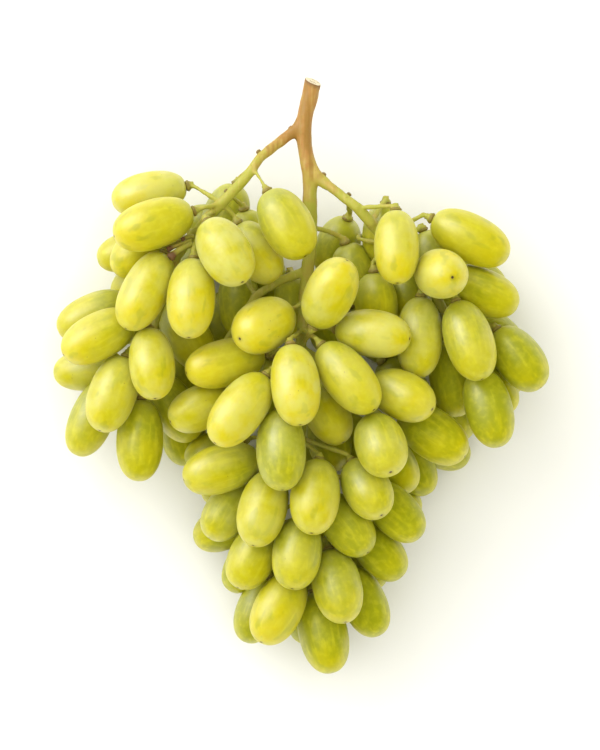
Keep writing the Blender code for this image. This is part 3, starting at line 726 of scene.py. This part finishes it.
def grape_skin():
    """Waxy skin over pale flesh: veins, smudges, bloom that also paints light, a pale stalk end, specks, a blossom
    scar.
    """
    tree = Tree("grape_skin")
    place = tree.vector("skin_place")
    streaks = tree.noise(place, 0.55, 3.0, (1.0, 1.0, 0.12))
    mottle = tree.noise(place, 0.45, 3.0)
    colour = ripe_colour(tree, place, streaks)
    colour = tree.mix(tree.ramp(mottle, 0.42, 0.68, 0.0, 0.28), colour, SKIN_VEIN)
    colour = tree.mix(tree.ramp(streaks, 0.52, 0.70, 0.0, 0.32), colour, SKIN_VEIN)
    smudges = tree.noise(place, 0.24, 2.0, (1.0, 1.0, 0.45))
    colour = tree.mix(tree.ramp(smudges, 0.56, 0.68, 0.0, 0.45), colour, SKIN_GREEN)
    # pale wax, the most on the top berries, where it is painted light
    wax_and_light = tree.math("MULTIPLY", tree.value("bloom_and_light"), tree.ramp(tree.noise(place, 0.13, 3.0), 0.30, 0.66))
    colour = tree.mix(wax_and_light, colour, SKIN_BLOOM)
    stalk_end = tree.math("ADD", tree.value("to_stalk"), tree.ramp(mottle, 0.3, 0.7, -2.0, 2.0))
    colour = tree.mix(tree.ramp(stalk_end, 2.0, 11.0, 0.55, 0.0), colour, SKIN_STALK_END)
    spots = tree.add("TexVoronoi", {"Vector": place, "Scale": 0.23}, feature="F1").outputs["Distance"]
    worn = tree.ramp(tree.noise(place, 0.05), 0.5, 0.6)
    specks = tree.math("MULTIPLY", tree.ramp(spots, 0.02, 0.07, 0.75, 0.0), worn)
    colour = tree.mix(specks, colour, SKIN_SPECK)
    to_blossom = tree.value("to_blossom")
    colour = tree.mix(tree.ramp(to_blossom, 0.6, 1.8, 0.35, 0.0), colour, SKIN_SPECK)
    scar = tree.ramp(to_blossom, 0.35, 0.75, 1.0, 0.0)
    colour = tree.mix(scar, colour, SCAR_BROWN)
    dull = tree.ramp(tree.noise(place, 0.16, 3.0), 0.35, 0.7, 0.42, 0.54)
    roughness = tree.math("MAXIMUM", dull, tree.math("MULTIPLY", scar, 0.8))
    return tree.finish(colour, roughness, SKIN_FINISH)


def grape_bark():
    """Stem: green in the bunch, golden and then tan and brown towards the cut end, and brown on the rings."""
    tree = Tree("grape_bark")
    place = tree.add("TexCoord").outputs["Object"]
    fine = tree.noise(place, 900.0, 3.0)
    blotches = tree.noise(place, 160.0, 2.0)
    grain = tree.noise(place, 700.0, 3.0, (1.0, 0.10, 1.0))
    age = tree.math("ADD", tree.value("age"), tree.ramp(blotches, 0.3, 0.7, -0.22, 0.22))
    colour = tree.mix(tree.ramp(age, 0.0, 0.5), BARK_GREEN, BARK_GOLDEN)
    colour = tree.mix(tree.ramp(age, 0.5, 1.0), colour, BARK_TAN)
    colour = tree.mix(tree.ramp(grain, 0.5, 0.75, 0.0, 0.35), colour, BARK_PALE)
    # darker streaks along the woody part of the stalk
    dark_streaks = tree.ramp(tree.noise(place, 420.0, 2.0, (1.0, 0.06, 1.0)), 0.46, 0.62, 0.0, 0.75)
    colour = tree.mix(tree.math("MULTIPLY", dark_streaks, tree.ramp(age, 0.1, 0.6)), colour, BARK_STREAK)
    colour = tree.mix(tree.ramp(fine, 0.62, 0.78, 0.0, 0.35), colour, BARK_BROWN)
    colour = tree.mix(tree.value("brown"), colour, BARK_RING)
    tree.bump(fine, 0.2, 0.15 * MM)
    return tree.finish(colour, tree.ramp(fine, 0.3, 0.7, 0.5, 0.75), BARK_FINISH)


def cut_wood():
    """The cut through the stalk: pale wood with darker pores."""
    tree = Tree("cut_wood")
    place = tree.add("TexCoord").outputs["Object"]
    pores = tree.ramp(tree.noise(place, 1100.0, 2.0), 0.56, 0.66)
    tree.bump(pores, 0.6, 0.3 * MM)
    return tree.finish(tree.mix(pores, WOOD_PALE, WOOD_DARK), WOOD_ROUGHNESS, {})


def matt_floor():
    """A plain matt material with a faint grain."""
    tree = Tree("floor")
    grain = tree.noise(tree.add("TexCoord").outputs["Object"], 40.0)
    colour = tree.mix(tree.ramp(grain, 0, 1, 0, FLOOR_GRAIN_SHARE), FLOOR_COLOUR, FLOOR_GRAIN)
    return tree.finish(colour, FLOOR_ROUGHNESS, {})


# --- Floor, light and camera -----------------------------------------------------------------------------------------


def floor_piece():
    """A pale level floor."""
    mesh = bpy.data.meshes.new("floor")
    half = FLOOR_SIDE / 2
    corners = [(-half, -half, 0), (half, -half, 0), (half, half, 0), (-half, half, 0)]
    mesh.from_pydata(corners, [], [(0, 1, 2, 3)])
    mesh.materials.append(matt_floor())
    made = bpy.data.objects.new("floor", mesh)
    bpy.context.scene.collection.objects.link(made)


def softbox(name, place, side, power, lights, shines):
    """A square lamp that faces the bunch. If it doesn't light, it only makes highlights, and if it doesn't
    shine, it makes none.
    """
    light = bpy.data.lights.new(name, "AREA")
    light.shape = "SQUARE"
    light.size = side
    light.energy = power
    made = bpy.data.objects.new(name, light)
    made.location = place
    made.visible_diffuse = lights
    made.visible_glossy = shines
    made.rotation_euler = (Vector(LIT_POINT) - Vector(place)).to_track_quat("-Z", "Y").to_euler()
    bpy.context.scene.collection.objects.link(made)


def studio():
    """The lamps and an even surround, which the gloss doesn't mirror, so that the skins keep their colour."""
    world = bpy.data.worlds.new("studio")
    world.use_nodes = True
    background = world.node_tree.nodes["Background"]
    background.inputs["Color"].default_value = WORLD_COLOUR
    background.inputs["Strength"].default_value = WORLD_STRENGTH
    bpy.context.scene.world = world
    world.cycles_visibility.glossy = False
    for lamp in LAMPS:
        softbox(*lamp)


def camera():
    """A long lens straight above the bunch, with the top of the picture towards the cut stalk."""
    lens = bpy.data.cameras.new("camera")
    lens.sensor_fit = "VERTICAL"
    lens.sensor_height = SENSOR
    lens.lens = SENSOR * (CAMERA_HEIGHT - VIEW_CENTRE[2]) / FRAME_HEIGHT
    made = bpy.data.objects.new("camera", lens)
    made.location = (VIEW_CENTRE[0], VIEW_CENTRE[1], CAMERA_HEIGHT)
    bpy.context.scene.collection.objects.link(made)
    bpy.context.scene.camera = made


def main():
    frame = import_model()
    rng = np.random.default_rng(SEED)
    skin, bark, wood = grape_skin(), grape_bark(), cut_wood()
    berries = berries_of(frame["nodes"])
    for name, group in berries.items():
        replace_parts(berry_piece(name, group, skin, rng), name)
    rings = receptacles([berry for group in berries.values() for berry in group], bark, rng)
    stem = stem_piece(frame["nodes"]["stem"], bark, wood, rng)
    for made in (stem, rings, bud_scars(stem.data, bark, rng), bare_twigs(bark, rng)):
        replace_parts(made, "stem")
    for name, node in frame["nodes"].items():
        node.data.materials.clear()
        node.data.materials.append(bark if name == "stem" else skin)
    floor_piece()
    studio()
    camera()
    bpy.context.scene.view_settings.view_transform = "Standard"


main()
